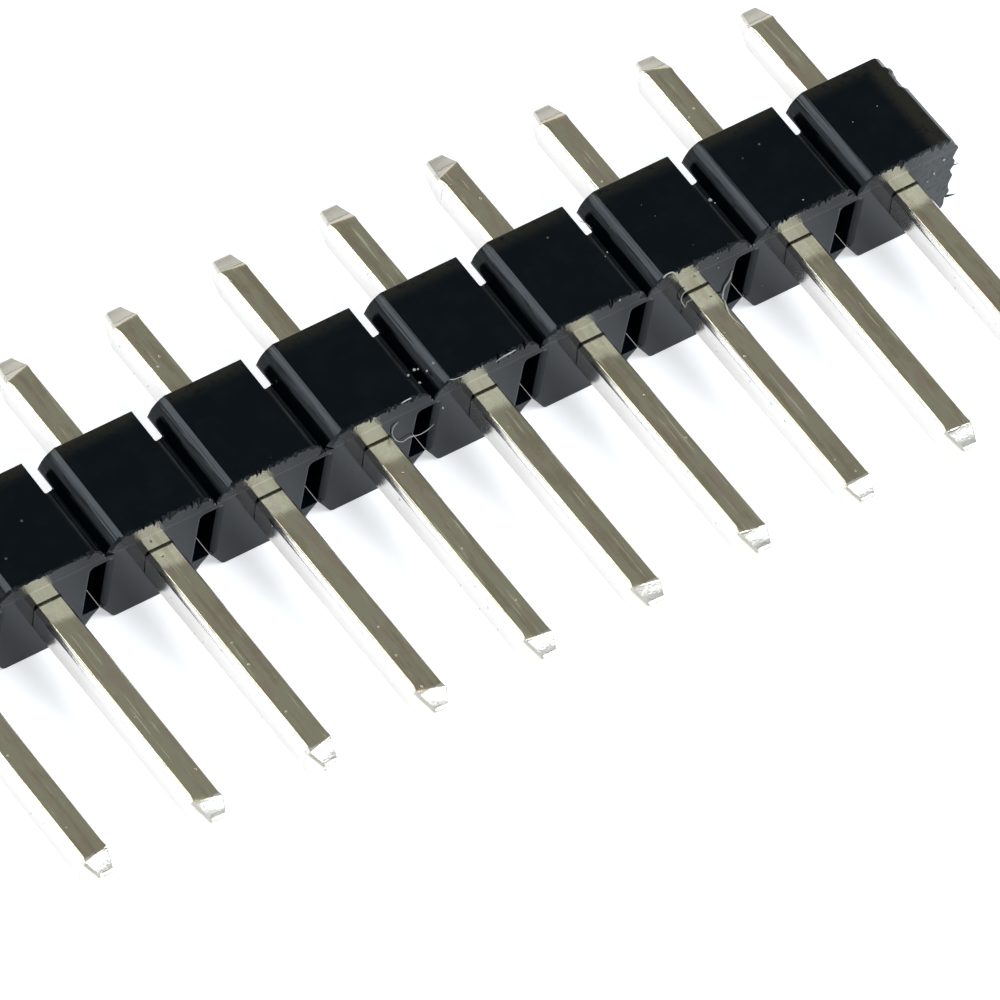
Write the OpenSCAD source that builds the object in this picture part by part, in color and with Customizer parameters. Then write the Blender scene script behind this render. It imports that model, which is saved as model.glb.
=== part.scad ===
// Single-row breakaway pin header, ten ways at 2.54 mm pitch, lying on its flat side.
//
// One moulded insulator holds ten square pins. X runs along the strip, Y along the
// pins (mating posts toward -Y, solder tails toward +Y) and Z is up from the face it
// rests on. The origin is under the middle of the whole part. Way 1 is at the +X end.

/* [Insulator] */
// Depth of the insulator, measured along the pins
body_depth = 2.5; // [2.3:0.02:2.7]
// Height of the insulator as it lies on its side
body_height = 2.5; // [2.4:0.02:2.6]
// Width of the flat crown on top of each way
crown_width = 1.78; // [1.6:0.02:2.0]
// Width of the flat that each way rests on
foot_width = 1.92; // [1.6:0.02:2.0]
// Depth of the V groove between two ways
groove_depth = 0.44; // [0.3:0.02:0.5]
// How far the sides of the V groove swell out from a straight chamfer
shoulder_swell = 0.05; // [0:0.01:0.07]
// Height of the V notch under each joint
notch_height = 0.46; // [0.1:0.02:0.48]
// How far each end wall stops short of the last joint plane
end_trim = 0.12; // [0.02:0.02:0.14]

/* [Breakaway joints] */
// Depth of the slots, from the front face and from the back face
slot_depth = 0.55; // [0.4:0.05:0.7]
// Depth of the gap that opens each back slot to the top
gap_depth = 0.85; // [0.55:0.05:1.0]
// Height of the sill left under each slot
slot_sill = 0.53; // [0.5:0.01:0.7]
// Height of the roof over each slot
slot_roof = 1.9; // [1.7:0.02:1.96]
// How far each front slot lies toward way 1
slot_shift = 0.04; // [0:0.01:0.08]

/* [Pins] */
// Side of the square pin
pin_side = 0.64; // [0.6:0.01:0.66]
// Depth of the flat that breaks each long edge of the pin
pin_edge = 0.1; // [0.02:0.01:0.14]
// Length of the mating post in front of the insulator
post_length = 6.0; // [5.0:0.1:8.0]
// Length of the solder tail behind the insulator
tail_length = 3.0; // [2.3:0.1:4.0]
// Length of the coined bevels at the post tip
post_bevel = 0.45; // [0.3:0.05:0.8]
// Side of the blunt end of the post
post_end = 0.38; // [0.2:0.02:0.46]
// Length of the coined bevels at the tail tip
tail_bevel = 0.42; // [0.2:0.02:0.6]
// Side of the blunt end of the tail
tail_end = 0.44; // [0.3:0.02:0.5]

/* [Pin holes] */
// Clearance around the pin where it leaves the front face
mouth_gap = 0.04; // [0.02:0.01:0.08]
// Depth of that clearance
mouth_depth = 0.15; // [0.05:0.05:0.3]

/* [Hidden] */
// Ten ways, as the node list below names ten pins.
ways = 10;
// The pitch of the standard grid.
pitch = 2.54;

middle = (post_length - tail_length) / 2;
front = middle - body_depth / 2;
back = middle + body_depth / 2;
post_tip = front - post_length;
tail_tip = back + tail_length;
axis_height = body_height / 2;
half_strip = ways * pitch / 2;
end_wall = half_strip - end_trim;
half_crown = crown_width / 2;
half_foot = foot_width / 2;
shoulder = pitch / 2 - half_crown;
heel = pitch / 2 - half_foot;
groove_floor = body_height - groove_depth;
chamfer = atan2(groove_depth, shoulder);
knee_out = half_crown + shoulder / 2 + shoulder_swell * sin(chamfer);
knee_up = body_height - groove_depth / 2 + shoulder_swell * cos(chamfer);
end_shoulder = groove_floor + (knee_up - groove_floor) * end_trim / (pitch / 2 - knee_out);
end_heel = notch_height * (heel - end_trim) / heel;
over = 1;

BLACK = [0.07, 0.07, 0.08];
GOLD = [0.78, 0.68, 0.42];

// Position of a way along the strip, way 1 at the +X end.
function way_x(way) = ((ways + 1) / 2 - way) * pitch;

// Position of the joint plane on the -X side of a way.
function joint_x(way) = way_x(way) - pitch / 2;

// Crown line of the insulator from -X to +X, as [x, z] points.
function crown_line() = concat(
    [[-end_wall, end_shoulder]],
    [for (way = [ways:-1:1]) each concat(
        way < ways ? [[joint_x(way), groove_floor]] : [],
        [[way_x(way) - knee_out, knee_up], [way_x(way) - half_crown, body_height],
         [way_x(way) + half_crown, body_height], [way_x(way) + knee_out, knee_up]])],
    [[end_wall, end_shoulder]]);

// Foot line of the insulator from +X to -X, as [x, z] points.
function foot_line() = concat(
    [[end_wall, end_heel]],
    [for (way = [1:ways]) each concat(
        [[way_x(way) + half_foot, 0], [way_x(way) - half_foot, 0]],
        way < ways ? [[joint_x(way), notch_height]] : [])],
    [[-end_wall, end_heel]]);

// A block between two corners.
module block(low, high) {
    translate(low) cube(high - low);
}

// The square pin section, its four edges broken.
module pin_section(side, edge) {
    h = side / 2;
    k = h - edge;
    polygon([[h, -k], [h, k], [k, h], [-k, h], [-h, k], [-h, -k], [-k, -h], [k, -h]]);
}

// A straight bar of pin section between two planes across Y, on the Y axis.
module pin_bar(y0, y1, side, edge) {
    translate([0, y1, 0]) rotate([90, 0, 0]) linear_extrude(height = y1 - y0) pin_section(side, edge);
}

// Side view of a pin: straight in the middle, bevelled at both tips.
module pin_taper() {
    h = pin_side / 2;
    linear_extrude(height = 2 * over, center = true)
        polygon([
            [-post_end / 2, post_tip], [post_end / 2, post_tip],
            [h, post_tip + post_bevel], [h, tail_tip - tail_bevel],
            [tail_end / 2, tail_tip], [-tail_end / 2, tail_tip],
            [-h, tail_tip - tail_bevel], [-h, post_tip + post_bevel],
        ]);
}

// One pin in its place along the strip.
module pin(way) {
    color(GOLD) translate([way_x(way), 0, axis_height]) intersection() {
        pin_bar(post_tip, tail_tip, pin_side, pin_edge);
        pin_taper();
        rotate([0, 90, 0]) pin_taper();
    }
}

// The hole of one pin: a close fit, slightly open at the front face.
module pin_hole(way) {
    translate([way_x(way), 0, axis_height]) {
        pin_bar(front - over, back + over, pin_side, pin_edge);
        pin_bar(front - over, front + mouth_depth, pin_side + 2 * mouth_gap, pin_edge);
    }
}

// Relief slots of one joint: one in the front face on the side of the next way, and
// one across the joint in the back face, open to the top on the side of the next way.
module joint_relief(way) {
    x = joint_x(way);
    block([x - shoulder + slot_shift, front - over, slot_sill],
          [x + slot_shift, front + slot_depth, slot_roof]);
    block([x - shoulder, back - slot_depth, slot_sill], [x + shoulder, back + over, slot_roof]);
    block([x - shoulder, back - gap_depth, slot_sill], [x, back + over, body_height + over]);
}

// The moulded insulator.
module housing() {
    color(BLACK) difference() {
        translate([0, back, 0]) rotate([90, 0, 0]) linear_extrude(height = body_depth)
            polygon(concat(crown_line(), foot_line()));
        for (way = [1:ways]) pin_hole(way);
        for (way = [1:ways - 1]) joint_relief(way);
    }
}

housing();
pin(1);  // pin_01
pin(2);  // pin_02
pin(3);  // pin_03
pin(4);  // pin_04
pin(5);  // pin_05
pin(6);  // pin_06
pin(7);  // pin_07
pin(8);  // pin_08
pin(9);  // pin_09
pin(10);  // pin_10
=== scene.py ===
"""Single-row breakaway pin header: detailed meshes, finishes, studio and camera."""
import logging
import math
from dataclasses import dataclass
from enum import Enum
from typing import Callable, Sequence

import bmesh
import bpy
from mathutils import Matrix, Vector, noise


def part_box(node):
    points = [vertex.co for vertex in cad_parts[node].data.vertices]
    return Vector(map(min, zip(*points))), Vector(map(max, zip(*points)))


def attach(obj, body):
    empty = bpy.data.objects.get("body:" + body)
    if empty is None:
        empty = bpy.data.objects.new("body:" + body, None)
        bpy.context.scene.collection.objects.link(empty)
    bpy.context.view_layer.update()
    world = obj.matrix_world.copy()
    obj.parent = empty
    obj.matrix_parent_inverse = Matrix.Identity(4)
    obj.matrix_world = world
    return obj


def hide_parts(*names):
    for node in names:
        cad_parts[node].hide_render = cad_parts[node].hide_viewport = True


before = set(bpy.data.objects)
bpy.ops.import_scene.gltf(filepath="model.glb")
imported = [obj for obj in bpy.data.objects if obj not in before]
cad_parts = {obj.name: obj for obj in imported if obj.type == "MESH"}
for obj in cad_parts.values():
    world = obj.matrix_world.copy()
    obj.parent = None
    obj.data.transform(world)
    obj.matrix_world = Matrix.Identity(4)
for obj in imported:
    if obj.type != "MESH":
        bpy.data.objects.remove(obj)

LOG = logging.getLogger("pin_header")
MM = 0.001
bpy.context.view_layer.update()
MITRE = 0.414
Number = int | float
Colour = tuple[float, float, float]
Place = tuple[float, float, float]
Span = tuple[float, float]
Ring = list[Vector]


# ---- shader maths


class Wire:
    """One output of a shader node that can be used in ordinary arithmetic."""

    def __init__(self, graph: "Graph", socket: bpy.types.NodeSocket) -> None:
        """Keep the socket and the graph it belongs to."""
        self.graph = graph
        self.socket = socket

    def _math(self, operation: str, first: "Wire | Number", second: "Wire | Number") -> "Wire":
        """Add one Math node and give its result."""
        return self.graph.add("ShaderNodeMath", {"operation": operation}, {0: first, 1: second})

    def __add__(self, other: "Wire | Number") -> "Wire":
        """Sum."""
        return self._math("ADD", self, other)

    def __radd__(self, other: Number) -> "Wire":
        """Sum, reflected."""
        return self._math("ADD", other, self)

    def __sub__(self, other: "Wire | Number") -> "Wire":
        """Difference."""
        return self._math("SUBTRACT", self, other)

    def __rsub__(self, other: Number) -> "Wire":
        """Difference, reflected."""
        return self._math("SUBTRACT", other, self)

    def __mul__(self, other: "Wire | Number") -> "Wire":
        """Product."""
        return self._math("MULTIPLY", self, other)

    def __rmul__(self, other: Number) -> "Wire":
        """Product, reflected."""
        return self._math("MULTIPLY", other, self)

    def at_most(self, other: "Wire | Number") -> "Wire":
        """The smaller of two values."""
        return self._math("MINIMUM", self, other)

    def at_least(self, other: "Wire | Number") -> "Wire":
        """The larger of two values."""
        return self._math("MAXIMUM", self, other)

    def ramp(self, low: float, high: float) -> "Wire":
        """Smooth step from 0 at low to 1 at high.

        Args:
            low: where the step starts.
            high: where it ends; below low, the step falls instead.

        Returns:
            A value between 0 and 1.
        """
        if low <= high:
            return self.graph.add(
                "ShaderNodeMapRange",
                {"interpolation_type": "SMOOTHSTEP"},
                {"Value": self, "From Min": low, "From Max": high},
            )
        return 1 - self.ramp(high, low)


Value = Wire | Number | Sequence[float]
Values = dict[int | str, Value]


class Graph:
    """The node tree of one material or world."""

    def __init__(self, tree: bpy.types.NodeTree) -> None:
        """Start from an empty tree."""
        self.tree = tree
        tree.nodes.clear()

    def add(self, kind: str, settings: dict[str, str] | None = None, values: Values | None = None,
            output: int | str = 0) -> Wire:
        """Add any node.

        Args:
            kind: the node's type.
            settings: its own settings, set before its sockets.
            values: constants or wires for its input sockets.
            output: the output socket that is wanted.

        Returns:
            That output as a wire, or the first input of a node that has no output.
        """
        node = self.tree.nodes.new(kind)
        for name, setting in (settings or {}).items():
            setattr(node, name, setting)
        for key, value in (values or {}).items():
            if isinstance(value, Wire):
                self.tree.links.new(value.socket, node.inputs[key])
            else:
                node.inputs[key].default_value = value
        return Wire(self, node.outputs[output] if len(node.outputs) else node.inputs[0])

    def surface(self, values: Values) -> None:
        """Finish a material with one Principled shader that has these sockets set."""
        shader = self.add("ShaderNodeBsdfPrincipled", None, values)
        self.add("ShaderNodeOutputMaterial", None, {"Surface": shader})

    def mix(self, factor: Wire | Number, low: Wire | Colour, high: Wire | Colour) -> Wire:
        """Mix two colours: factor 0 gives low and 1 gives high."""
        ends = [end if isinstance(end, Wire) else (*end, 1) for end in (low, high)]
        return self.add("ShaderNodeMix", {"data_type": "RGBA"}, {0: factor, 6: ends[0], 7: ends[1]}, 2)

    def place(self, scale: Sequence[float]) -> Wire:
        """Place in the part, in millimetres, times a factor along each axis."""
        values = {0: self.add("ShaderNodeTexCoord", output="Object"), 1: [s / MM for s in scale]}
        return self.add("ShaderNodeVectorMath", {"operation": "MULTIPLY"}, values)

    def axes(self, vector: Wire) -> tuple[Wire, Wire, Wire]:
        """Split a vector into its X, Y and Z parts."""
        parts = [self.add("ShaderNodeSeparateXYZ", None, {0: vector}, output=i) for i in range(3)]
        return parts[0], parts[1], parts[2]

    def grain(self, scale: Sequence[float], detail: float = 3.0, rough: float = 0.5) -> Wire:
        """Soft noise around 0.5, its scale in features per millimetre along each axis."""
        values = {"Vector": self.place(scale), "Scale": 1, "Detail": detail, "Roughness": rough}
        return self.add("ShaderNodeTexNoise", None, values)

    def specks(self, per_mm: float, size: float, share: float) -> Wire:
        """Small round specks, one at most in each cell of a grid.

        Args:
            per_mm: cells per millimetre.
            size: radius of a speck, in cells.
            share: share of the cells that hold a speck.

        Returns:
            1 inside a speck and 0 elsewhere.
        """
        where = self.place((per_mm,) * 3)
        near = self.add("ShaderNodeTexVoronoi", None, {"Vector": where, "Scale": 1}, "Distance")
        cell = self.add("ShaderNodeTexVoronoi", None, {"Vector": where, "Scale": 1}, "Color")
        pick = self.add("ShaderNodeSeparateXYZ", None, {0: cell})
        return near.ramp(size, size * 0.6) * pick.ramp(share + 0.01, share)

    def bump(self, height: Wire, depth: float) -> Wire:
        """Turn a height into a normal, where a height of 1 is this deep in millimetres."""
        return self.add("ShaderNodeBump", None, {"Height": height, "Distance": depth * MM}, "Normal")


def new_material(name: str) -> tuple[bpy.types.Material, Graph]:
    """Make an empty node material.

    Args:
        name: the material's name.

    Returns:
        The material and its graph.
    """
    made = bpy.data.materials.new(name)
    made.use_nodes = True
    return made, Graph(made.node_tree)


# ---- finishes


@dataclass(frozen=True)
class BlackPolyester:
    """Glass-filled black polyester, moulded smooth, with dust, a painted sheen near the back edge and the
    end, and a painted reflection on the front face near the end.
    """

    name: str = "black_polyester"
    body: Colour = (0.0006, 0.0022, 0.0036)
    cloudy: Colour = (0.0016, 0.0036, 0.0050)
    # Painted sheen: a paler brown tone on the crowns near the back edge and near the far end, standing in
    # for glare there.
    painted_lighting: Colour = (0.016, 0.015, 0.011)
    # Painted reflection: a paler grey on the front face near the far end, standing in for the brighter
    # table it reflects there.
    painted_reflection: Colour = (0.042, 0.047, 0.048)
    dust: Colour = (0.10, 0.10, 0.095)
    roughness: float = 0.13
    ior: float = 1.33
    tint: Colour = (0.84, 0.92, 1.0)
    front: float = 0.25
    back: float = 2.79
    crown: float = 2.5
    groove: float = 2.06
    end: float = 12.40
    # Where the painted sheen lies: its reach from the back edge, from the far end, and below the crown.
    sheen_from_back: float = 0.45
    sheen_from_end: Span = (0.58, 0.24)
    sheen_below_crown: Span = (0.12, 0.04)
    # Where the painted reflection lies from the far end; the last span is how deep the front-face mask
    # reaches.
    reflection_from_end: Span = (1.25, 0.25)
    front_depth: Span = (0.05, 0.02)
    bump_depth: float = 0.0012

    def material(self) -> bpy.types.Material:
        """Build the node material.

        Returns:
            The finished material.
        """
        made, graph = new_material(self.name)
        across, along, up = graph.axes(graph.place((1, 1, 1)))
        cloud = graph.grain((1.8, 1.8, 1.8), 4, 0.6)
        haze = graph.grain((9, 9, 9), 3, 0.5)
        fine = graph.grain((34, 34, 34), 2, 0.5)
        drag = graph.grain((26, 0.5, 26), 2, 0.5)
        specks = graph.specks(4.0, 0.13, 0.035)
        # Painted sheen mask: near the back edge and the far end, just below the crown.
        rim = along.ramp(self.back - self.sheen_from_back, self.back)
        rim = rim.at_least(across.ramp(*(self.end - gap for gap in self.sheen_from_end)))
        painted_lighting = rim * up.ramp(*(self.crown - gap for gap in self.sheen_below_crown))
        # Front-face mask; near the far end it carries the painted reflection.
        face = along.ramp(*(self.front + gap for gap in self.front_depth))
        painted_reflection = face * across.ramp(*(self.end - gap for gap in self.reflection_from_end))
        shoulder = up.ramp(self.groove, self.groove + 0.08) * up.ramp(self.crown, self.crown - 0.03)
        tone = graph.mix(cloud.ramp(0.42, 0.70), self.body, self.cloudy)
        # Lay on the painted sheen, then the painted reflection.
        tone = graph.mix(painted_lighting * haze.ramp(0.18, 0.50), tone, self.painted_lighting)
        tone = graph.mix(painted_reflection * haze.ramp(0.15, 0.55), tone, self.painted_reflection)
        tone = graph.mix(specks * 0.7, tone, self.dust)
        rough = self.roughness + 0.12 * (haze - 0.5) + 0.08 * (cloud - 0.5) + 0.4 * specks - 0.04 * face
        shell = haze * 0.3 + fine * 0.5 + shoulder * drag * 5.0 + specks * 2.0
        graph.surface({
            "Base Color": tone,
            "Roughness": rough,
            "IOR": self.ior,
            "Specular Tint": (*self.tint, 1),
            "Normal": graph.bump(shell, self.bump_depth),
        })
        return made


@dataclass(frozen=True)
class PaleGold:
    """Thin pale gold flash on drawn square brass wire; its upper faces carry a yellower olive painted
    shade tone.
    """

    name: str = "pale_gold_flash"
    body: Colour = (0.82, 0.785, 0.75)
    # Painted shade: a yellower olive tone on the upper faces, standing in for the shaded tops beside the
    # lit sides of the same gold.
    painted_lighting: Colour = (0.82, 0.77, 0.53)
    stain: Colour = (0.60, 0.52, 0.34)
    blush: Colour = (0.80, 0.66, 0.50)
    scuff: Colour = (0.52, 0.50, 0.40)
    pit: Colour = (0.30, 0.27, 0.19)
    cut: Colour = (0.74, 0.73, 0.66)
    roughness: float = 0.15
    upper_face: float = 1.57
    post_bevel: float = -5.30
    tail_bevel: float = 5.42
    top_edge: Span = (0.014, 0.004)
    fray: float = 0.10
    bump_depth: float = 0.006

    def material(self) -> bpy.types.Material:
        """Build the node material.

        Returns:
            The finished material.
        """
        made, graph = new_material(self.name)
        _, along, up = graph.axes(graph.place((1, 1, 1)))
        lines = graph.grain((30, 0.45, 30), 3, 0.6)
        broad = graph.grain((6, 0.35, 6), 2, 0.5)
        cloud = graph.grain((2.6, 1.5, 2.6), 4, 0.65)
        grit = graph.grain((24, 16, 24), 3, 0.6)
        # Upper-face mask: it carries the painted shade tone, and the stains, blushes and scratches.
        top = up.ramp(*(self.upper_face - gap for gap in self.top_edge))
        cut = self._cut_ends(along, grit)
        stains = top * (cloud * 0.45 + broad * 0.55).ramp(0.47, 0.60)
        blushes = top * graph.grain((4.5, 0.9, 4.5), 3, 0.6).ramp(0.48, 0.62)
        scuffs = graph.specks(4.5, 0.17, 0.10) * grit.ramp(0.40, 0.55)
        scratch = graph.grain((22, 0.8, 22), 2, 0.5).ramp(0.62, 0.72) * top
        pits = graph.specks(3.1, 0.10, 0.14)
        # Painted shade: the upper faces get the yellower tone.
        tone = graph.mix(top, self.body, self.painted_lighting)
        tone = graph.mix(blushes * 0.7, tone, self.blush)
        tone = graph.mix(stains * 0.6, tone, self.stain)
        tone = graph.mix(cut * 0.85, tone, self.cut)
        tone = graph.mix((scuffs + scratch * 0.5).at_most(1) * 0.8, tone, self.scuff)
        tone = graph.mix(pits * 0.6, tone, self.pit)
        dull = (scuffs + scratch * 0.4).at_most(1) * 0.6
        rough = self.roughness + 0.03 * top + 0.10 * (cloud - 0.5) + 0.08 * (lines - 0.5)
        rough = rough + 0.16 * cut + 0.25 * pits
        skin_deep = lines * 0.45 + broad * 1.1 + cloud * 1.2 * top + grit * (0.10 + 1.1 * cut)
        graph.surface({
            "Base Color": tone,
            "Metallic": 1 - 0.04 * top - dull,
            "Roughness": rough,
            "Normal": graph.bump(skin_deep - pits * 0.8, self.bump_depth),
        })
        return made

    def _cut_ends(self, along: Wire, grit: Wire) -> Wire:
        """The coined faces at both ends of a pin.

        Args:
            along: place along the pins.
            grit: fine noise that frays the line where they start.

        Returns:
            1 on a coined face and 0 elsewhere.
        """
        frayed = along + self.fray * (grit - 0.5)
        return frayed.ramp(self.post_bevel + 0.03, self.post_bevel - 0.02).at_least(
            frayed.ramp(self.tail_bevel - 0.03, self.tail_bevel + 0.02)
        )


@dataclass(frozen=True)
class LintFibre:
    """Pale textile lint and dust."""

    name: str = "lint_fibre"
    body: Colour = (0.48, 0.49, 0.45)
    shade: Colour = (0.30, 0.31, 0.28)
    roughness: float = 0.45
    bump_depth: float = 0.002

    def material(self) -> bpy.types.Material:
        """Build the node material.

        Returns:
            The finished material.
        """
        made, graph = new_material(self.name)
        twist = graph.grain((20, 20, 20), 2, 0.5)
        graph.surface({
            "Base Color": graph.mix(twist, self.body, self.shade),
            "Roughness": self.roughness + 0.2 * twist,
            "Normal": graph.bump(twist, self.bump_depth),
        })
        return made


# ---- mesh tools


@dataclass(frozen=True)
class Corner:
    """One corner of a flat outline and the radius that rounds it, in millimetres."""

    across: float
    up: float
    radius: float = 0.0


@dataclass(frozen=True)
class RimPoint:
    """One point of a rounded outline and the direction that leads out of it."""

    at: Vector
    out: Vector


def rounded_outline(corners: Sequence[Corner], step: Callable[[Vector], float]) -> list[RimPoint]:
    """Round the corners of a closed outline and divide its straight runs.

    Args:
        corners: the corners, clockwise, so that the left of each run is outside.
        step: longest piece of a straight run near a point, in millimetres.

    Returns:
        The points of the rounded outline.
    """
    arcs: list[list[RimPoint]] = []
    count = len(corners)
    spots = [Vector((corner.across, corner.up)) for corner in corners]
    for i, corner in enumerate(corners):
        here, before, after = spots[i], spots[i - 1], spots[(i + 1) % count]
        into, away = (here - before).normalized(), (after - here).normalized()
        out_a, out_b = Vector((-into.y, into.x)), Vector((-away.y, away.x))
        turn = math.atan2(into.cross(away), into.dot(away))
        if abs(turn) < 0.01 or corner.radius <= 0:
            arcs.append([RimPoint(here, ((out_a + out_b) / 2).normalized())])
            continue
        reach = corner.radius * math.tan(abs(turn) / 2)
        side = -1 if turn < 0 else 1
        centre = here - into * reach + out_a * corner.radius * side
        steps = max(3, round(abs(turn) / math.radians(11)))
        arc = []
        for k in range(steps + 1):
            angle = turn * k / steps
            out = Vector(
                (
                    out_a.x * math.cos(angle) - out_a.y * math.sin(angle),
                    out_a.x * math.sin(angle) + out_a.y * math.cos(angle),
                )
            )
            arc.append(RimPoint(centre - out * corner.radius * side, out))
        arcs.append(arc)
    points: list[RimPoint] = []
    for i, arc in enumerate(arcs):
        points.extend(arc)
        start, end = arc[-1].at, arcs[(i + 1) % count][0].at
        run = end - start
        pieces = max(1, math.ceil(run.length / step((start + end) / 2)))
        out = Vector((-run.y, run.x)).normalized()
        points.extend(RimPoint(start + run * k / pieces, out) for k in range(1, pieces))
    return points


def eased(value: float, low: float, high: float) -> float:
    """0 at one limit and 1 at the other, held beyond both."""
    return max(0.0, min(1.0, (value - low) / (high - low)))


def ring_at(outline: Sequence[RimPoint], y: float, inset: float) -> Ring:
    """Lift an outline across the strip to a place along the pins, pulled in by an inset."""
    return [Vector((p.at.x - p.out.x * inset, y, p.at.y - p.out.y * inset)) for p in outline]


def hoop(centre: Vector, side: Vector, other: Vector, points: int) -> Ring:
    """Points around a centre, at the reach of two directions across its axis."""
    angles = (math.tau * k / points for k in range(points))
    return [centre + side * math.cos(a) + other * math.sin(a) for a in angles]


def skin(shape: bmesh.types.BMesh, rings: Sequence[Ring]) -> None:
    """Join rings of points into one closed shell.

    Args:
        shape: the mesh that the shell is added to.
        rings: rings with the same number of points, from one end to the other.
    """
    rows = [[shape.verts.new(point * MM) for point in ring] for ring in rings]
    count = len(rows[0])
    for low, high in zip(rows, rows[1:]):
        for i in range(count):
            k = (i + 1) % count
            shape.faces.new((low[i], low[k], high[k], high[i]))
    shape.faces.new(rows[0])
    shape.faces.new(tuple(reversed(rows[-1])))


def as_object(shape: bmesh.types.BMesh, name: str) -> bpy.types.Object:
    """Turn a finished mesh into an object of the scene.

    Args:
        shape: the mesh; it is used up.
        name: the object's name.

    Returns:
        The new object.
    """
    bmesh.ops.recalc_face_normals(shape, faces=shape.faces)
    mesh = bpy.data.meshes.new(name)
    shape.to_mesh(mesh)
    shape.free()
    made = bpy.data.objects.new(name, mesh)
    bpy.context.scene.collection.objects.link(made)
    return made


def carve(body: bpy.types.Object, cutter: bpy.types.Object) -> None:
    """Cut one object out of another, and drop the cutter.

    Args:
        body: the object that is cut.
        cutter: the object that cuts.
    """
    cut = body.modifiers.new("carve", "BOOLEAN")
    cut.operation = "DIFFERENCE"
    cut.solver = "EXACT"
    cut.object = cutter
    ready = body.evaluated_get(bpy.context.evaluated_depsgraph_get())
    carved = bpy.data.meshes.new_from_object(ready)
    body.modifiers.remove(cut)
    old = body.data
    body.data = carved
    bpy.data.meshes.remove(old)
    waste = cutter.data
    bpy.data.objects.remove(cutter)
    bpy.data.meshes.remove(waste)


def smooth(piece: bpy.types.Object, sharp_over: float = 32.0) -> None:
    """Shade a piece smooth, with its flat faces kept flat.

    Args:
        piece: the object.
        sharp_over: angle in degrees over which an edge stays sharp.
    """
    piece.data.shade_smooth()
    piece.data.set_sharp_from_angle(angle=math.radians(sharp_over))
    weigh = piece.modifiers.new("flat faces", "WEIGHTED_NORMAL")
    weigh.keep_sharp = True
    weigh.weight = 100


# ---- the insulator


@dataclass(frozen=True)
class Nib:
    """One small bent tooth of moulding flash, in millimetres.

    Its thinning is how far along each ring lies and its share of the size.
    """

    foot: Place
    toward: Place
    size: float
    length: float
    thinning: tuple[Span, ...] = ((0.0, 1.0), (0.35, 0.75), (0.7, 0.5), (1.0, 0.18))

    def add_to(self, shape: bmesh.types.BMesh) -> None:
        """Add the tooth, which thins and sways toward its tip.

        Args:
            shape: the mesh that it is added to.
        """
        foot, axis = Vector(self.foot), Vector(self.toward).normalized()
        side = axis.orthogonal().normalized()
        other = axis.cross(side) * 0.7
        rings = []
        for k, share in self.thinning:
            sway = noise.noise_vector(foot * 3 + Vector((k * 2, 0, 0))) * self.size * 0.8 * k
            centre, reach = foot + axis * self.length * k + sway, self.size * share
            rings.append(hoop(centre, side * reach, other * reach, 7))
        skin(shape, rings)


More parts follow.
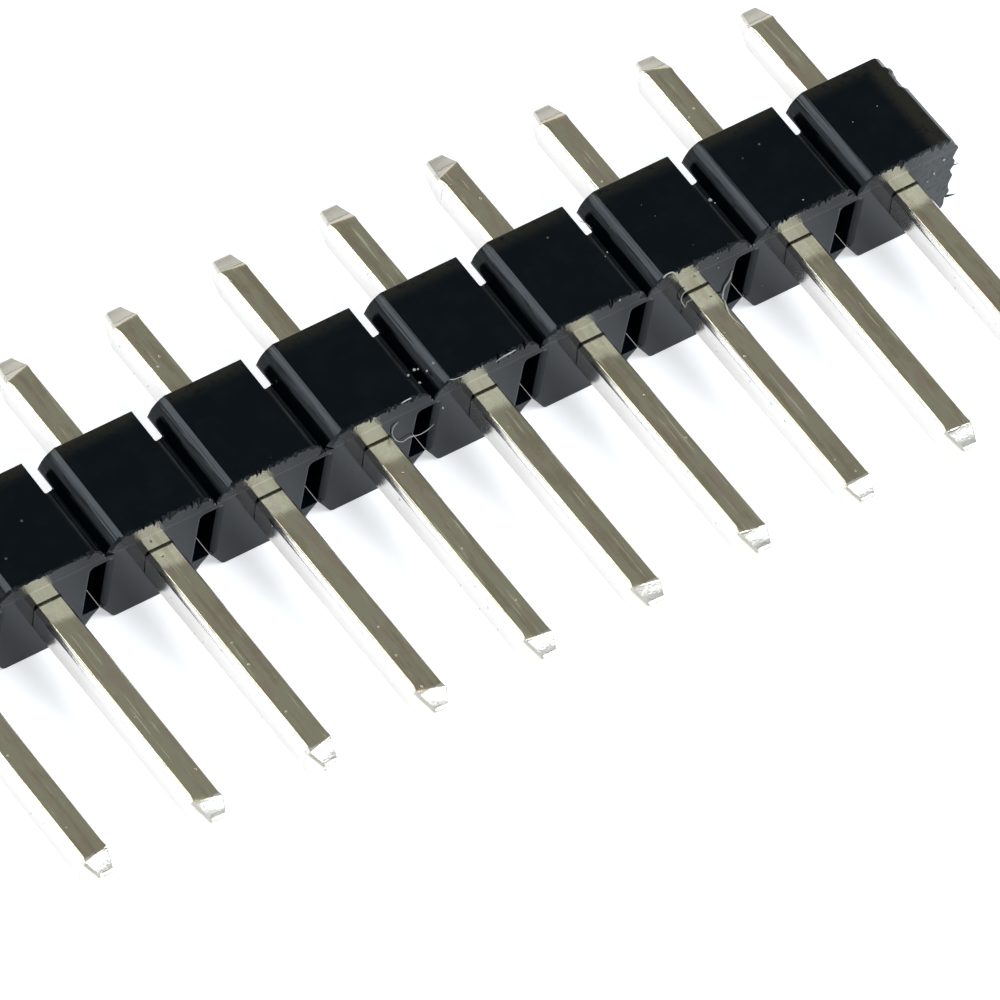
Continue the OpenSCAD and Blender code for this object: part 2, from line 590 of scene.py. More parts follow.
@dataclass
class Insulator:
    """The moulded bar that holds the pins. All sizes are in millimetres."""

    front: float
    back: float
    height: float
    pitch: float = 2.54
    ways: int = 10
    half_crown: float = 0.89
    groove_depth: float = 0.44
    notch_height: float = 0.537
    apex_shift: float = -0.08
    half_foot: float = 0.96
    foot_shift: float = -0.05
    shoulder_tilt: float = 21.4
    shoulder_round: float = 0.55
    crown_round: float = 0.04
    groove_round: float = 0.008
    foot_round: float = 0.14
    flank_roll: float = 0.17
    front_roll: float = 0.014
    back_roll: float = 0.035
    back_swell: float = 0.04
    slot_depth: float = 0.55
    slot_sill: float = 0.53
    slot_roof: float = 1.9
    slot_lip: float = 0.07
    slot_shift: float = 0.045
    slot_lean: float = 0.12
    nose_roof: float = 2.035
    gap_depth: float = 0.85
    pin_side: float = 0.64
    pin_edge: float = 0.07
    pin_lean: tuple[float, ...] = ()
    pin_offset: tuple[float, ...] = ()
    mouth_gap: float = 0.008
    mouth_headroom: float = 0.055
    mouth_depth: float = 0.30
    overrun: float = 0.5
    end_crown: float = 0.94
    end_round: float = 0.10
    end_wall: tuple[Corner, ...] = (
        Corner(0.26, 0.29, 0.10), Corner(0.153, 0.64), Corner(0.137, 1.11),
        Corner(0.12, 1.58), Corner(0.09, 2.10, 0.10), Corner(0.20, 2.40, 0.07),
    )
    wall_reach: float = 0.8
    wall_foot: float = 0.3
    wall_head: float = 2.3
    step_at: Span = (1.58, 1.68)
    step_depth: float = 0.06
    bump_at: tuple[float, ...] = (2.06, 2.12, 2.20, 2.26)
    bump_height: float = 0.06
    # Seeds the sway of the flash, the same in each run. A seed of 0 would be the clock.
    flash_seed: int = 7

    @property
    def shoulder(self) -> float:
        """Half the width of the groove between two ways."""
        return self.pitch / 2 - self.half_crown

    def way_x(self, way: int) -> float:
        """Position of a way along the strip."""
        return ((self.ways + 1) / 2 - way) * self.pitch

    def joint_x(self, way: int) -> float:
        """Position of the joint on the far side of a way."""
        return self.way_x(way) - self.pitch / 2

    def build(self) -> bpy.types.Object:
        """Build the whole bar.

        Returns:
            The finished object.
        """
        shape = bmesh.new()
        skin(shape, self._body_rings())
        bar = as_object(shape, "insulator_bar")
        joints, pins = range(1, self.ways), range(1, self.ways + 1)
        for cut, places in ((self._slots, joints), (self._gap, joints), (self._undercut, joints),
                            (self._mouths, pins), (self._headroom, pins)):
            shape = bmesh.new()
            for way in places:
                cut(shape, way)
            carve(bar, as_object(shape, "cutter"))
        self._add_flash(bar)
        smooth(bar)
        self._crease_front(bar)
        return bar

    def _crease_front(self, bar: bpy.types.Object) -> None:
        """Keep the front face flat up to its torn rim.

        Args:
            bar: the finished bar.
        """
        on_face = [abs(v.co.y / MM - self.front) < 1e-4 for v in bar.data.vertices]
        for edge in bar.data.edges:
            if all(on_face[v] for v in edge.vertices):
                edge.use_edge_sharp = True

    def _knee(self) -> tuple[float, float]:
        """Corner that one big radius rounds into the swelling side of a groove.

        Returns:
            Its distance from the middle of the groove, and its height.
        """
        run, drop = self.shoulder, self.groove_depth
        chord = math.hypot(run, drop)
        tilt = math.radians(self.shoulder_tilt)
        out = chord / 2 * math.tan(tilt)
        return run / 2 - out * drop / chord, self.height - drop / 2 + out * run / chord

    def _corners(self) -> list[Corner]:
        """The outline of the bar seen along the pins.

        Returns:
            Its corners, clockwise from the crown at the far end.
        """
        top, floor = self.height, self.height - self.groove_depth
        end = self.ways * self.pitch / 2
        knee_in, knee_up = self._knee()
        corners = [Corner(c.across - end, c.up, c.radius) for c in self.end_wall]
        for way in range(self.ways, 0, -1):
            x, near, far = self.way_x(way), self.joint_x(way - 1), self.joint_x(way)
            if way < self.ways:
                corners.append(Corner(far, floor, self.groove_round))
                corners.append(Corner(far + knee_in, knee_up, self.shoulder_round))
                corners.append(Corner(x - self.half_crown, top, self.crown_round))
            else:
                corners.append(Corner(x - self.end_crown, top, self.end_round))
            if way > 1:
                corners.append(Corner(x + self.half_crown, top, self.crown_round))
                corners.append(Corner(near - knee_in, knee_up, self.shoulder_round))
            else:
                corners.append(Corner(x + self.end_crown, top, self.end_round))
        corners.extend(Corner(end - c.across, c.up, c.radius) for c in reversed(self.end_wall))
        for way in range(1, self.ways + 1):
            x = self.way_x(way)
            right = self.half_crown if way == 1 else self.half_foot + self.foot_shift
            left = self.half_crown if way == self.ways else self.half_foot - self.foot_shift
            corners.append(Corner(x + right, 0, self.foot_round))
            corners.append(Corner(x - left, 0, self.foot_round))
            if way < self.ways:
                apex = self.joint_x(way) + self.apex_shift
                corners.append(Corner(apex, self.notch_height, 0.0))
        return corners

    def _step(self, at: Vector) -> float:
        """Longest piece of the outline near a point: short where the rim is torn."""
        on_end_wall = at.x > self.ways * self.pitch / 2 - 0.3
        return 0.024 if at.y > self.height - self.groove_depth or on_end_wall else 0.4

    def _body_rings(self) -> list[Ring]:
        """Rings of the plain bar, its front rim torn and its back rim rolled over.

        Returns:
            The rings, from front to back.
        """
        outline = rounded_outline(self._corners(), self._step)
        back = self.back + self.back_swell
        rings = []
        for share in (0.0, 0.25, 0.5, 0.75, 1.0):
            ring = []
            for p in outline:
                torn = p.at.y > self.height - self.groove_depth * 0.9
                drop, run = self._torn(p.at.x) if torn else self._rolled(p)
                turn = share * math.pi / 2
                inset = drop * (1 - (share if torn else math.sin(turn)))
                y = self.front + run * (share if torn else 1 - math.cos(turn))
                ring.append(Vector((p.at.x - p.out.x * inset, y, p.at.y - p.out.y * inset)))
            rings.append(ring)
        stations = (0.19, 0.24, 0.4, 0.7, 1.2, *self.step_at, *self.bump_at)
        rings.extend(ring_at(outline, self.front + y, 0) for y in stations)
        for k in range(5):
            angle = math.radians(22.5 * k)
            y = back - self.back_roll * (1 - math.sin(angle))
            rings.append(ring_at(outline, y, self.back_roll * 0.75 * (1 - math.cos(angle))))
        for ring in rings:
            for point in ring:
                point.x += self._wall_wave(point)
        return rings

    def _rolled(self, point: RimPoint) -> tuple[float, float]:
        """How the front rim is rolled over below the crowns: widest on one flank of each notch.

        Args:
            point: a point of the outline.

        Returns:
            How far the rim drops and how far it runs back.
        """
        in_notch = point.at.y < self.notch_height and point.at.x < self.way_x(1)
        fade = max(0.0, 1 - point.at.y / self.notch_height) ** 0.6
        roll = self.flank_roll * max(0.0, point.out.x) * fade if in_notch else 0.0
        return self.front_roll + roll, self.front_roll + roll

    @staticmethod
    def _torn(x: float) -> tuple[float, float]:
        """How the front rim is broken along the crowns.

        Args:
            x: place along the strip.

        Returns:
            How far the rim drops and how far it runs back: a steep pale tooth or a flat dark one.
        """
        wave = noise.noise(Vector((x * 2.3, 0.0, 4.2)))
        tooth = noise.noise(Vector((x * 9.0, 7.3, 1.1)))
        spike = noise.noise(Vector((x * 21.0, 2.2, 5.1)))
        height = 0.6 * wave + 1.5 * tooth + 0.9 * spike
        if height > 0:
            return 0.02 + 0.17 * height, 0.012 + 0.060 * height
        return 0.02 - 0.055 * height, 0.012 - 0.055 * height

    def _wall_wave(self, point: Vector) -> float:
        """Swell of the broken end wall beside way 1, strongest at the front and stepped behind.

        Args:
            point: a point of the bar.

        Returns:
            How far the wall stands out there.
        """
        end = self.ways * self.pitch / 2
        if point.x < end - self.wall_reach or point.z < self.wall_foot:
            return 0.0
        back = point.y - self.front
        rise, crest, brow, fall = self.bump_at
        step = self.bump_height * eased(back, rise, crest) * eased(back, fall, brow)
        step -= 0.02 * min(1.0, back) + self.step_depth * eased(back, *self.step_at)
        step *= eased(point.z, 1.4, 2.0) * eased(point.x, end - self.wall_reach, end - 0.36)
        if point.z >= self.wall_head:
            return step
        fade = 0.25 + 0.75 * max(0.0, 1 - back / 0.45)
        waves = math.cos(math.tau * (point.z - 1.65) / 0.44)
        rough = noise.noise(Vector((1.7, point.y * 3.0, point.z * 7.0)))
        corner = max(0.0, 1 - abs(point.z - 2.12) / 0.18)
        edge = min(1.0, (point.z - self.wall_foot) / 0.2, (self.wall_head - point.z) / 0.12)
        return step + fade * edge * (0.030 * waves + 0.035 * rough + 0.015 * corner)

    def _flared(self, shape: bmesh.types.BMesh, corners: Sequence[Corner], depth: float, lip: float,
                from_front: bool) -> None:
        """Add a cutter that enters one long face and has a rounded lip there.

        Args:
            shape: the mesh that the cutter is added to.
            corners: its outline, clockwise.
            depth: how deep it goes.
            lip: radius of the rounded lip.
            from_front: whether it enters the front face or the back face.
        """
        outline = rounded_outline(corners, lambda at: 10.0)
        face, into = (self.front, 1) if from_front else (self.back, -1)
        rings = [self._flare_ring(outline, face - into * 0.3, 0.0, lip * 1.02)]
        for k in range(6):
            angle = math.radians(18 * k)
            drop = into * lip * (1 - math.cos(angle))
            rings.append(self._flare_ring(outline, face, drop, lip * (1.02 - math.sin(angle))))
        foot = 0.6 * min(corner.radius for corner in corners)
        rings.append(ring_at(outline, face + into * (depth - foot), 0))
        rings.append(ring_at(outline, face + into * (depth - 0.3 * foot), 0.3 * foot))
        rings.append(ring_at(outline, face + into * depth, foot))
        skin(shape, rings)

    @staticmethod
    def _flare_ring(outline: Sequence[RimPoint], y: float, drop: float, growth: float) -> Ring:
        """Lift an outline into the part and widen it, most on one side and hardly at its sill.

        Args:
            outline: the outline across the strip.
            y: how far along the pins the face lies, in millimetres.
            drop: how far behind the face this ring lies, in millimetres.
            growth: how far it is widened, in millimetres.

        Returns:
            One ring of points, in millimetres.
        """
        ring = []
        for p in outline:
            share = 1 - 0.9 * max(0.0, -p.out.y) + 1.1 * max(0.0, p.out.x)
            reach = growth * share
            ring.append(Vector((p.at.x + p.out.x * reach, y + drop * share, p.at.y + p.out.y * reach)))
        return ring

    @staticmethod
    def _box_corners(x0: float, x1: float, z0: float, z1: float, radius: float) -> list[Corner]:
        """Corners of an upright rectangle, clockwise from its lower left."""
        return [Corner(x, z, radius) for x, z in ((x0, z0), (x0, z1), (x1, z1), (x1, z0))]

    def _slots(self, shape: bmesh.types.BMesh, way: int) -> None:
        """Cut the relief slots beside one joint, in both long faces.

        Args:
            shape: the cutter.
            way: the way before the joint.
        """
        x = self.joint_x(way)
        x0, x1 = x - self.shoulder + self.slot_shift, x + self.slot_shift
        front = [
            Corner(x0 - self.slot_lean, self.slot_sill, 0.03),
            Corner(x0, self.slot_roof, 0.09),
            Corner(x1, self.slot_roof, 0.02),
            Corner(x1 - 0.8 * self.slot_lean, self.slot_sill, 0.03),
        ]
        self._flared(shape, front, self.slot_depth, self.slot_lip, True)
        back = self._box_corners(
            x - self.shoulder, x + self.shoulder, self.slot_sill, self.slot_roof, 0.06
        )
        self._flared(shape, back, self.slot_depth, 0.04, False)

    def _gap(self, shape: bmesh.types.BMesh, way: int) -> None:
        """Open one back slot to the top, on the side of the next way.

        Args:
            shape: the cutter.
            way: the way before the joint.
        """
        x, beyond, floor = self.joint_x(way), self.back + self.overrun, self.back - self.gap_depth
        plan = [
            Corner(x - self.shoulder, floor, 0.03),
            Corner(x - self.shoulder, beyond, 0.0),
            Corner(x + 0.012, beyond, 0.0),
            Corner(x + 0.012, self.back - self.slot_depth, 0.05),
            Corner(x - self.shoulder / 2, floor + 0.095, 0.06),
        ]
        self._punch(shape, plan, self.slot_sill + 0.2, self.height + self.overrun)

    def _undercut(self, shape: bmesh.types.BMesh, way: int) -> None:
        """Raise the roof of one back slot under the overhanging shoulder.

        Args:
            shape: the cutter.
            way: the way before the joint.
        """
        left, right = self.joint_x(way) - 0.1, self.joint_x(way) + self.shoulder - 0.05
        floor, beyond = self.back - self.slot_depth + 0.004, self.back + self.overrun
        plan = [Corner(*at) for at in ((left, floor), (left, beyond), (right, beyond), (right, floor))]
        self._punch(shape, plan, self.slot_sill + 0.3, self.nose_roof)

    @staticmethod
    def _punch(shape: bmesh.types.BMesh, plan: Sequence[Corner], low: float, high: float) -> None:
        """Add an upright cutter from low to high, with the given outline seen from above."""
        outline = rounded_outline(plan, lambda at: 10.0)
        skin(shape, [[Vector((p.at.x, p.at.y, z)) for p in outline] for z in (low, high)])

    def _mouths(self, shape: bmesh.types.BMesh, way: int) -> None:
        """Cut the clearance around one pin in both long faces.

        Args:
            shape: the cutter.
            way: the pin's way.
        """
        middle, reach = self.height / 2, self.pin_side / 2 + self.mouth_gap
        for from_front in (True, False):
            x = self._pin_x(way, self.front if from_front else self.back)
            square = self._box_corners(
                x - reach, x + reach, middle - reach, middle + reach, self.pin_edge + self.mouth_gap
            )
            self._flared(shape, square, self.mouth_depth, 0.01, from_front)

    def _headroom(self, shape: bmesh.types.BMesh, way: int) -> None:
        """Cut the thin gap that stays open above one post.

        Args:
            shape: the cutter.
            way: the pin's way.
        """
        x, head = self._pin_x(way, self.front), self.height / 2 + self.pin_side / 2
        flat = self.pin_side / 2 - self.pin_edge
        slit = self._box_corners(
            x - flat - 0.05, x + flat + 0.03, head - 0.1, head + self.mouth_headroom, 0.025
        )
        self._flared(shape, slit, self.mouth_depth - 0.02, 0.012, True)

    def _pin_x(self, way: int, y: float) -> float:
        """Where the middle of a pin really passes across the strip, at a place along it."""
        run = y - (self.front + self.back) / 2
        return self.way_x(way) + self.pin_offset[way - 1] + self.pin_lean[way - 1] * run

    def _add_flash(self, bar: bpy.types.Object) -> None:
        """Add the ragged flash: on the end wall and the crown of way 1, and behind the joints.

        Args:
            bar: the carved bar.
        """
        wall = self.ways * self.pitch / 2 - 0.18
        nibs = [
            Nib((wall, 0.27, 1.56), (1, -0.1, 0.0), 0.022, 0.20),
            Nib((wall, 0.27, 0.60), (1, -0.1, -0.2), 0.030, 0.24),
            Nib((wall, 0.28, 1.22), (1, -0.3, 0.1), 0.045, 0.06),
        ]
        x, y, z = self.way_x(1), self.front + 0.015, self.height - 0.02
        nibs += [
            Nib((x + 0.10, y, z), (-0.1, -0.5, 1), 0.020, 0.075),
            Nib((x + 0.60, y, z), (0.1, -0.4, 1), 0.022, 0.055),
            Nib((x - 0.82, y, z), (-0.2, -0.4, 1), 0.030, 0.060),
        ]
        y, z = self.back - 0.86, self.height - 0.05
        for way in range(1, self.ways - 1):
            x = self.joint_x(way) - self.shoulder - 0.02
            nibs.append(Nib((x, y, z), (0.7, -0.2, 0.5), 0.022, 0.07))
        noise.seed_set(self.flash_seed)
        shape = bmesh.new()
        shape.from_mesh(bar.data)
        for nib in nibs:
            nib.add_to(shape)
        bmesh.ops.recalc_face_normals(shape, faces=shape.faces)
        shape.to_mesh(bar.data)
        shape.free()


# ---- the pins


class PinEnd(Enum):
    """The two ends of a pin."""

    POST = -1
    TAIL = 1


@dataclass
class Pin:
    """One square pin. All sizes are in millimetres."""

    way: int
    x: float
    middle: float
    post_tip: float
    tail_tip: float
    lean: float = 0.0
    offset: float = 0.0
    side: float = 0.64
    edge: float = 0.090
    lower_edge: float = 0.012
    post_slant: float = 0.0
    post_bevel: float = 0.45
    post_end: float = 0.41
    tail_bevel: float = 0.42
    tail_end: float = 0.44
    tail_growth: float = 0.07
    nose: float = 0.10
    nose_round: float = 0.07
    nose_chamfer: float = 0.045
    bevel_chamfer: float = 0.05
    root_chamfer: float = 0.055
    right_share: float = 0.5
    bend_share: float = 0.2
    lean_from: float = 1.5
    divisions: int = 12

    def build(self) -> bpy.types.Object:
        """Build the pin.

        Returns:
            The finished object.
        """
        shape = bmesh.new()
        post = self._end_rings(PinEnd.POST)
        tail = self._end_rings(PinEnd.TAIL)
        start, stop = self.post_tip + self.post_bevel + 0.3, self.tail_tip - self.tail_bevel - 0.3
        places = [start + (stop - start) * k / self.divisions for k in range(self.divisions + 1)]
        bar = [self._ring(y, self.side / 2, self.edge) for y in places]
        rings = post + bar + tail[::-1]
        for ring in rings:
            for point in ring:
                point.x += self.offset + self.lean * (point.y - self.lean_from)
        skin(shape, rings)
        made = as_object(shape, f"pin_{self.way:02d}_gold")
        smooth(made, 40)
        return made

    def _vary(self, key: float) -> float:
        """A fixed small difference of this pin from the others, from -1 to 1."""
        return max(-1.0, min(1.0, 2 * noise.noise(Vector((self.way * 1.37, key, 0.61)))))

    def _end_rings(self, end: PinEnd) -> list[Ring]:
        """Rings of one coined end.

        Args:
            end: which end.

        Returns:
            The rings, from the tip inwards.
        """
        is_post = end is PinEnd.POST
        tip = self.post_tip if is_post else self.tail_tip + self.tail_growth
        length = self.post_bevel if is_post else self.tail_bevel + self.tail_growth
        blunt = (self.post_end if is_post else self.tail_end) / 2
        key = 3.0 if is_post else 9.0
        length *= 1 + 0.10 * self._vary(key)
        blunt *= 1 + 0.08 * self._vary(key + 1)
        half = self.side / 2
        slope = (half - blunt) / (length - self.nose)
        stations = [
            (self.nose * (1 - math.cos(a)), blunt - self.nose_round * (1 - math.sin(a)), self.nose_chamfer)
            for a in (math.radians(15 * k) for k in range(7))
        ]
        stations += [
            (depth, half - slope * (length - depth), self.bevel_chamfer)
            for depth in (length * 0.6, length * 0.93)
        ]
        stations += [(length, half - 0.002, self.root_chamfer), (length * 1.30, half, self.edge)]
        slant = self.post_slant if is_post else 0.28 * self._vary(key + 2)
        droop = 0.10 * self._vary(key + 3)
        rings = []
        for depth, reach, chamfer in stations:
            ring = self._ring(tip - end.value * depth, reach, chamfer)
            lean = min(1.0, depth / length)
            for point in ring:
                across, up = (point.x - self.x) / half, (point.z - self.middle) / half
                point.y -= end.value * lean * length * (slant * across + droop * up)
            rings.append(ring)
        return rings

    def _ring(self, y: float, half: float, chamfer: float) -> Ring:
        """One square with chamfered edges across the pin.

        Args:
            y: where it lies.
            half: half its side.
            chamfer: width of the chamfer on the upper left edge.

        Returns:
            Its points.
        """
        ring = []
        for sx, sz, cut in (
            (1, 1, chamfer * self.right_share),
            (-1, 1, chamfer),
            (-1, -1, self.lower_edge),
            (1, -1, self.lower_edge),
        ):
            bend = cut * self.bend_share
            near, far = half - bend, half - cut - bend * MITRE
            arc = []
            for k in range(8):
                a = math.radians(15 * (k if k < 4 else k - 1))
                across, up = (near, far) if k < 4 else (far, near)
                spot = (sx * (across + bend * math.cos(a)), sz * (up + bend * math.sin(a)))
                arc.append(Vector((self.x + spot[0], y, self.middle + spot[1])))
            ring.extend(arc if sx == sz else reversed(arc))
        return ring


# ---- lint and dust


@dataclass(frozen=True)
class Fibre:
    """One lint fibre: the points it passes through and its radius, in millimetres."""

    path: tuple[Place, ...]
    radius: float = 0.017
    steps: int = 6

    def add_to(self, shape: bmesh.types.BMesh) -> None:
        """Add the fibre as a thin uneven tube that thins toward both ends.

        Args:
            shape: the mesh that it is added to.
        """
        spine = self._spine()
        side = (spine[1] - spine[0]).orthogonal().normalized()
        rings = []
        for i, point in enumerate(spine):
            axis = (spine[min(i + 1, len(spine) - 1)] - spine[max(i - 1, 0)]).normalized()
            side = (side - axis * side.dot(axis)).normalized()
            share = i / (len(spine) - 1)
            thick = self.radius * (0.75 + 0.35 * noise.noise(point * 5))
            thick *= min(1, 0.4 + 6 * share) * min(1, 0.4 + 6 * (1 - share))
            rings.append(hoop(point, side * thick, axis.cross(side) * thick, 8))
        skin(shape, rings)

    def _spine(self) -> list[Vector]:
        """Smooth curve through the points.

        Returns:
            Its points.
        """
        knots = [Vector(point) for point in self.path]
        knots = [knots[0] * 2 - knots[1], *knots, knots[-1] * 2 - knots[-2]]
        spine = []
        for a, b, c, d in zip(knots, knots[1:], knots[2:], knots[3:]):
            for k in range(self.steps):
                t = k / self.steps
                spine.append(
                    (b * 2 + (c - a) * t + (a * 2 - b * 5 + c * 4 - d) * t * t
                     + (b * 3 - a - c * 3 + d) * t * t * t) / 2
                )
        spine.append(knots[-2])
        return spine


@dataclass(frozen=True)
class Grain:
    """One grain of dust: where it lies and its radius, in millimetres."""

    at: Place
    radius: float

    def add_to(self, shape: bmesh.types.BMesh) -> None:
        """Add the grain as a small uneven lump.

        Args:
            shape: the mesh that it is added to.
        """
        lump = bmesh.ops.create_icosphere(shape, subdivisions=2, radius=1.0)
        centre = Vector(self.at)
        for vert in lump["verts"]:
            out = vert.co.copy()
            uneven = 0.8 + 0.7 * noise.noise(out * 1.3 + centre * 7)
            vert.co = (centre + out * self.radius * uneven) * MM


@dataclass(frozen=True)
class Lint:
    """The lint and dust that cling to the part."""

    fibres: tuple[Fibre, ...] = (
        Fibre(((7.16, 0.23, 1.62), (7.11, 0.22, 1.39), (7.01, 0.22, 1.20), (6.98, 0.21, 1.00),
               (6.88, 0.06, 0.94), (6.74, -0.12, 1.28), (6.61, -0.32, 1.59), (6.50, -0.66, 1.60),
               (6.56, -1.05, 1.59)), 0.021),
        Fibre(((6.06, 0.20, 1.74), (5.94, 0.19, 1.72), (5.90, 0.18, 1.55), (6.00, 0.14, 1.30),
               (6.16, 0.10, 1.06), (6.34, 0.08, 0.93)), 0.016),
        Fibre(((-0.85, 0.23, 1.95), (-0.96, 0.22, 1.86), (-0.97, 0.22, 1.64), (-0.85, 0.21, 1.38),
               (-0.70, 0.21, 1.25), (-0.54, 0.21, 1.29), (-0.32, 0.21, 1.22), (-0.13, 0.21, 1.24),
               (0.03, 0.21, 1.34)), 0.012),
        Fibre(((1.44, 0.25, 2.36), (1.58, 0.25, 2.42), (1.74, 0.25, 2.43), (1.92, 0.26, 2.44)), 0.017),
        Fibre(((0.34, 0.26, 2.50), (0.46, 0.25, 2.45), (0.63, 0.25, 2.42), (0.77, 0.25, 2.42)), 0.014),
        Fibre(((5.42, 0.26, 2.46), (5.50, 0.25, 2.54), (5.62, 0.25, 2.53), (5.72, 0.25, 2.44)), 0.020),
        Fibre(((-0.80, 0.26, 2.48), (-0.68, 0.26, 2.50), (-0.56, 0.26, 2.50)), 0.018),
        Fibre(((4.78, 2.30, 2.51), (4.86, 2.16, 2.51), (4.88, 2.00, 2.51)), 0.008),
    )
    grains: tuple[Grain, ...] = (
        Grain((7.34, 1.41, 2.50), 0.042), Grain((7.38, 1.30, 2.50), 0.015),
        Grain((6.08, 2.00, 2.49), 0.014), Grain((6.16, 1.63, 2.49), 0.014),
        Grain((6.40, 0.63, 2.49), 0.013), Grain((4.82, 1.35, 2.49), 0.018),
        Grain((4.73, 1.29, 2.48), 0.018), Grain((-0.30, 0.77, 2.49), 0.030),
        Grain((-0.12, 0.82, 2.49), 0.036), Grain((-0.05, 0.80, 2.49), 0.026),
        Grain((-0.20, 0.50, 2.49), 0.026), Grain((0.12, 0.73, 2.40), 0.026),
        Grain((0.30, 0.78, 2.47), 0.032), Grain((11.62, 1.71, 2.49), 0.020),
        Grain((10.96, 1.62, 2.49), 0.018), Grain((8.95, 0.47, 2.49), 0.020),
        Grain((0.23, 0.25, 1.69), 0.036), Grain((6.75, 0.25, 2.28), 0.018),
        Grain((6.81, 0.25, 1.93), 0.018), Grain((12.30, 0.25, 1.92), 0.036),
        Grain((12.10, 0.25, 1.61), 0.034), Grain((11.96, 0.25, 1.44), 0.022),
        Grain((4.39, 0.26, 2.42), 0.030),
    )

    def build(self) -> bpy.types.Object:
        """Build all of it as one piece.

        Returns:
            The finished object.
        """
        shape = bmesh.new()
        for bit in (*self.fibres, *self.grains):
            bit.add_to(shape)
        made = as_object(shape, "lint")
        smooth(made, 60)
        return made


# ---- studio


@dataclass(frozen=True)
class SoftLamp:
    """A large soft lamp far from the part."""

    name: str
    toward: Place
    spread: float
    strength: float
    colour: Colour = (1.0, 1.0, 1.0)

    def hang(self) -> None:
        """Put the lamp in the scene."""
        lamp = bpy.data.lights.new(self.name, "SUN")
        lamp.energy = self.strength
        lamp.angle = math.radians(self.spread)
        lamp.color = self.colour
        made = bpy.data.objects.new(self.name, lamp)
        made.rotation_mode = "QUATERNION"
        made.rotation_quaternion = Vector(self.toward).to_track_quat("Z", "Y")
        made.location = Vector(self.toward).normalized() * 0.5
        bpy.context.scene.collection.objects.link(made)


@dataclass(frozen=True)
class Studio:
    """Pale table, room and lamps. Each sweep is an axis and where it rises along it and upward."""

    table_half: float = 3.0
    table_colour: Colour = (0.80, 0.82, 0.84)
    table_glow: Colour = (0.50, 0.51, 0.525)
    room_high: Colour = (0.195, 0.200, 0.210)
    room_low: Colour = (0.20, 0.19, 0.14)
    sweep: Colour = (0.80, 0.79, 0.74)
    sweeps: tuple[tuple[int, Span, Span], ...] = (
        (1, (0.60, 0.74), (0.66, 0.52)),
        (1, (-0.55, -0.70), (0.58, 0.42)),
        (0, (0.62, 0.80), (0.22, 0.10)),
    )
    lamps: tuple[SoftLamp, ...] = (
        SoftLamp("key_softbox", (0.384, -0.478, 0.79), 36, 2.65, (0.94, 1.0, 1.06)),
        SoftLamp("side_softbox", (-0.467, 0.478, 0.746), 25, 0.80, (0.93, 0.98, 1.0)),
        SoftLamp("low_softbox", (-0.80, 0.478, 0.30), 28, 0.25, (0.93, 0.98, 1.0)),
        SoftLamp("wall_softbox", (-0.90, -0.10, 0.42), 60, 0.45),
        SoftLamp("ceiling_softbox", (-0.12, 0.10, 0.99), 36, 0.22, (1.0, 0.97, 0.90)),
    )

    def build(self) -> None:
        """Build the table, the room and the lamps."""
        self._table()
        self._room()
        for lamp in self.lamps:
            lamp.hang()

    def _table(self) -> None:
        """Lay the table under the part."""
        shape = bmesh.new()
        half = self.table_half
        corners = [(-half, -half, 0), (half, -half, 0), (half, half, 0), (-half, half, 0)]
        shape.faces.new([shape.verts.new(corner) for corner in corners])
        table = as_object(shape, "table_top")
        made, graph = new_material("pale_table")
        graph.surface({
            "Base Color": (*self.table_colour, 1),
            "Roughness": 0.6,
            "Specular IOR Level": 0.2,
            "Emission Color": graph.mix(self._seen(graph), (0, 0, 0), self.table_glow),
            "Emission Strength": 1.0,
        })
        table.data.materials.append(made)

    @staticmethod
    def _seen(graph: Graph) -> Wire:
        """Whether a ray shows the background, straight or in a reflection.

        Args:
            graph: the graph that asks.

        Returns:
            1 for camera, glossy and transmission rays, else 0.
        """
        kinds = ("Is Camera Ray", "Is Glossy Ray", "Is Transmission Ray")
        camera, glossy, clear = (graph.add("ShaderNodeLightPath", output=kind) for kind in kinds)
        return camera.at_least(glossy).at_least(clear)

    def _room(self) -> None:
        """Paint the room: dim above, with pale sweeps, and white along the horizon."""
        world = bpy.data.worlds.new("room")
        world.use_nodes = True
        bpy.context.scene.world = world
        graph = Graph(world.node_tree)
        sides = graph.axes(graph.add("ShaderNodeTexCoord", output="Generated"))
        up, seen = sides[2], self._seen(graph)
        tone = graph.mix(up.ramp(0.05, 0.55), self.room_low, self.room_high)
        for axis, beyond, below in self.sweeps:
            tone = graph.mix(seen * sides[axis].ramp(*beyond) * up.ramp(*below), tone, self.sweep)
        tone = graph.mix(seen * up.ramp(0.05, 0.01), tone, (1, 1, 1))
        sky = graph.add("ShaderNodeBackground", None, {"Color": tone, "Strength": 1})
        graph.add("ShaderNodeOutputWorld", None, {"Surface": sky})


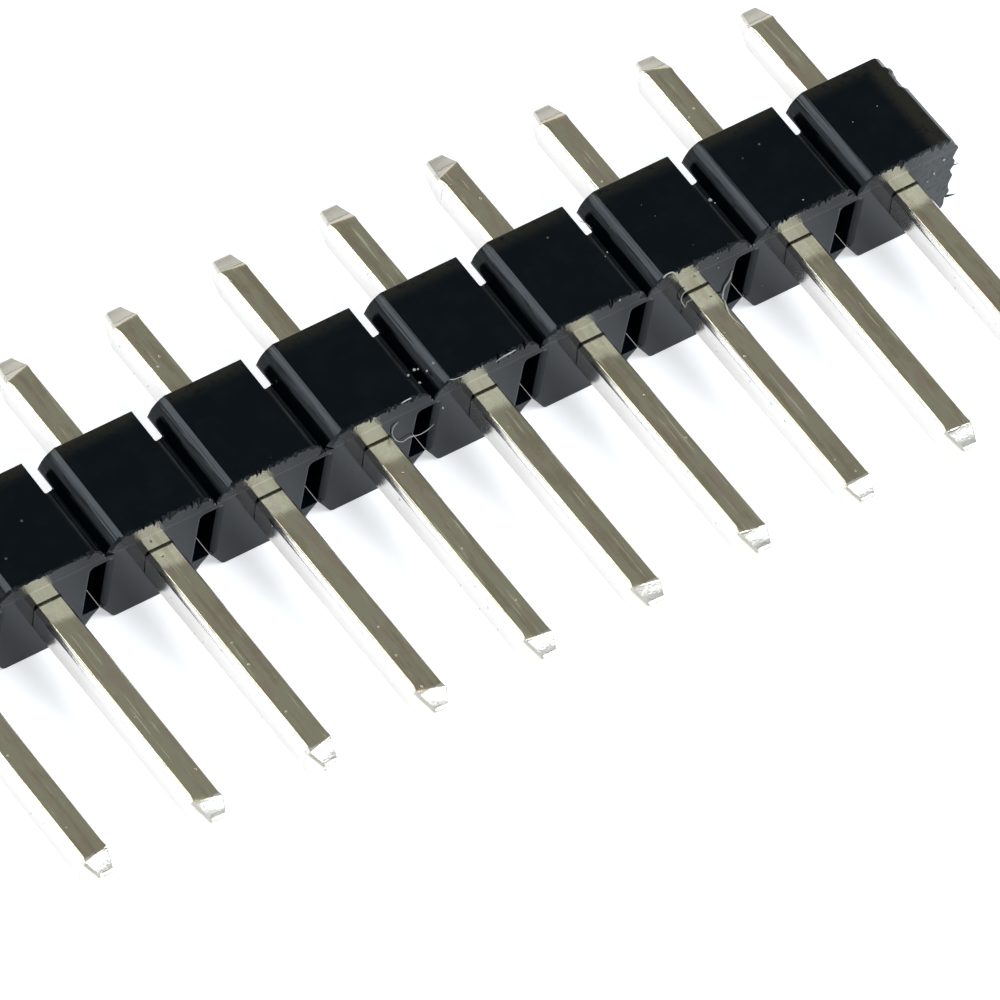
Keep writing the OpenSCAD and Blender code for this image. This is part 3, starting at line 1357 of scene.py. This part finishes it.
@dataclass(frozen=True)
class Viewpoint:
    """A long lens on the part. Angles are in degrees and lengths in millimetres."""

    azimuth: float = 38.84
    elevation: float = 52.16
    roll: float = 6.51
    distance: float = 220.17
    shift_right: float = 1.2156
    shift_up: float = -1.2861
    lens: float = 402.56
    aim_height: float = 1.25

    def place(self) -> None:
        """Create the camera and make it the scene's."""
        az, el, roll = (math.radians(a) for a in (self.azimuth, self.elevation, self.roll))
        look = Vector((math.cos(el) * math.sin(az), math.cos(el) * math.cos(az), -math.sin(el)))
        level = look.cross(Vector((0, 0, 1))).normalized()
        rise = level.cross(look)
        right = level * math.cos(roll) + rise * math.sin(roll)
        up = rise * math.cos(roll) - level * math.sin(roll)
        target = Vector((0, 0, self.aim_height)) + right * self.shift_right + up * self.shift_up
        data = bpy.data.cameras.new("camera")
        data.lens = self.lens
        data.sensor_width = 36
        data.clip_start, data.clip_end = 0.01, 20
        made = bpy.data.objects.new("camera", data)
        turn = Matrix((right, up, -look)).transposed()
        made.matrix_world = Matrix.Translation((target - look * self.distance) * MM) @ turn.to_4x4()
        bpy.context.scene.collection.objects.link(made)
        bpy.context.scene.camera = made


# ---- assembly


@dataclass(frozen=True)
class Header:
    """The whole strip: its insulator and its pins."""

    ways: int = 10
    offsets: tuple[float, ...] = (-0.03, -0.07, -0.04, -0.04, -0.05, -0.04, -0.04, -0.05, -0.08, -0.08)
    leans: tuple[float, ...] = (
        -0.006, 0.0, -0.005, -0.014, -0.012, -0.015, -0.018, -0.017, -0.017, -0.017
    )
    slants: tuple[float, ...] = (0.0, -0.06, 0.04, -0.15, -0.17, -0.12, -0.28, 0.21, -0.23, 0.19)

    def build(self) -> None:
        """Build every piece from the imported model's boxes and dress it."""
        low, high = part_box("housing")
        plastic = BlackPolyester().material()
        gold = PaleGold().material()
        bar = Insulator(front=low.y / MM, back=high.y / MM, height=high.z / MM,
                        pin_lean=self.leans, pin_offset=self.offsets).build()
        self._dress(bar, "housing", "insulator", plastic)
        for way in range(1, self.ways + 1):
            node = f"pin_{way:02d}"
            low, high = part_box(node)
            centre = (low + high) / 2 / MM
            pin = Pin(way, centre.x, centre.z, low.y / MM, high.y / MM,
                      lean=self.leans[way - 1], offset=self.offsets[way - 1],
                      post_slant=self.slants[way - 1])
            self._dress(pin.build(), node, "contact", gold)
        lint = Lint().build()
        lint.data.materials.append(LintFibre().material())
        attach(lint, "root")
        LOG.info("%s clings to the strip: %d faces", lint.name, len(lint.data.polygons))

    @staticmethod
    def _dress(piece: bpy.types.Object, node: str, slot: str, finish: bpy.types.Material) -> None:
        """Give a piece its finish and let it stand for its CAD node.

        Args:
            piece: the new piece.
            node: the node that it replaces.
            slot: the record's material slot; not used.
            finish: its material.
        """
        piece.data.materials.append(finish)
        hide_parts(node)
        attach(piece, "root")
        LOG.info("%s stands for %s: %d faces", piece.name, node, len(piece.data.polygons))


def main() -> None:
    """Build the studio and the part, and report each piece."""
    logging.basicConfig(level=logging.INFO, format="%(name)s: %(message)s")
    scene = bpy.context.scene
    scene.view_settings.view_transform = "Standard"
    Viewpoint().place()
    Studio().build()
    Header().build()


if __name__ == "__main__":
    main()
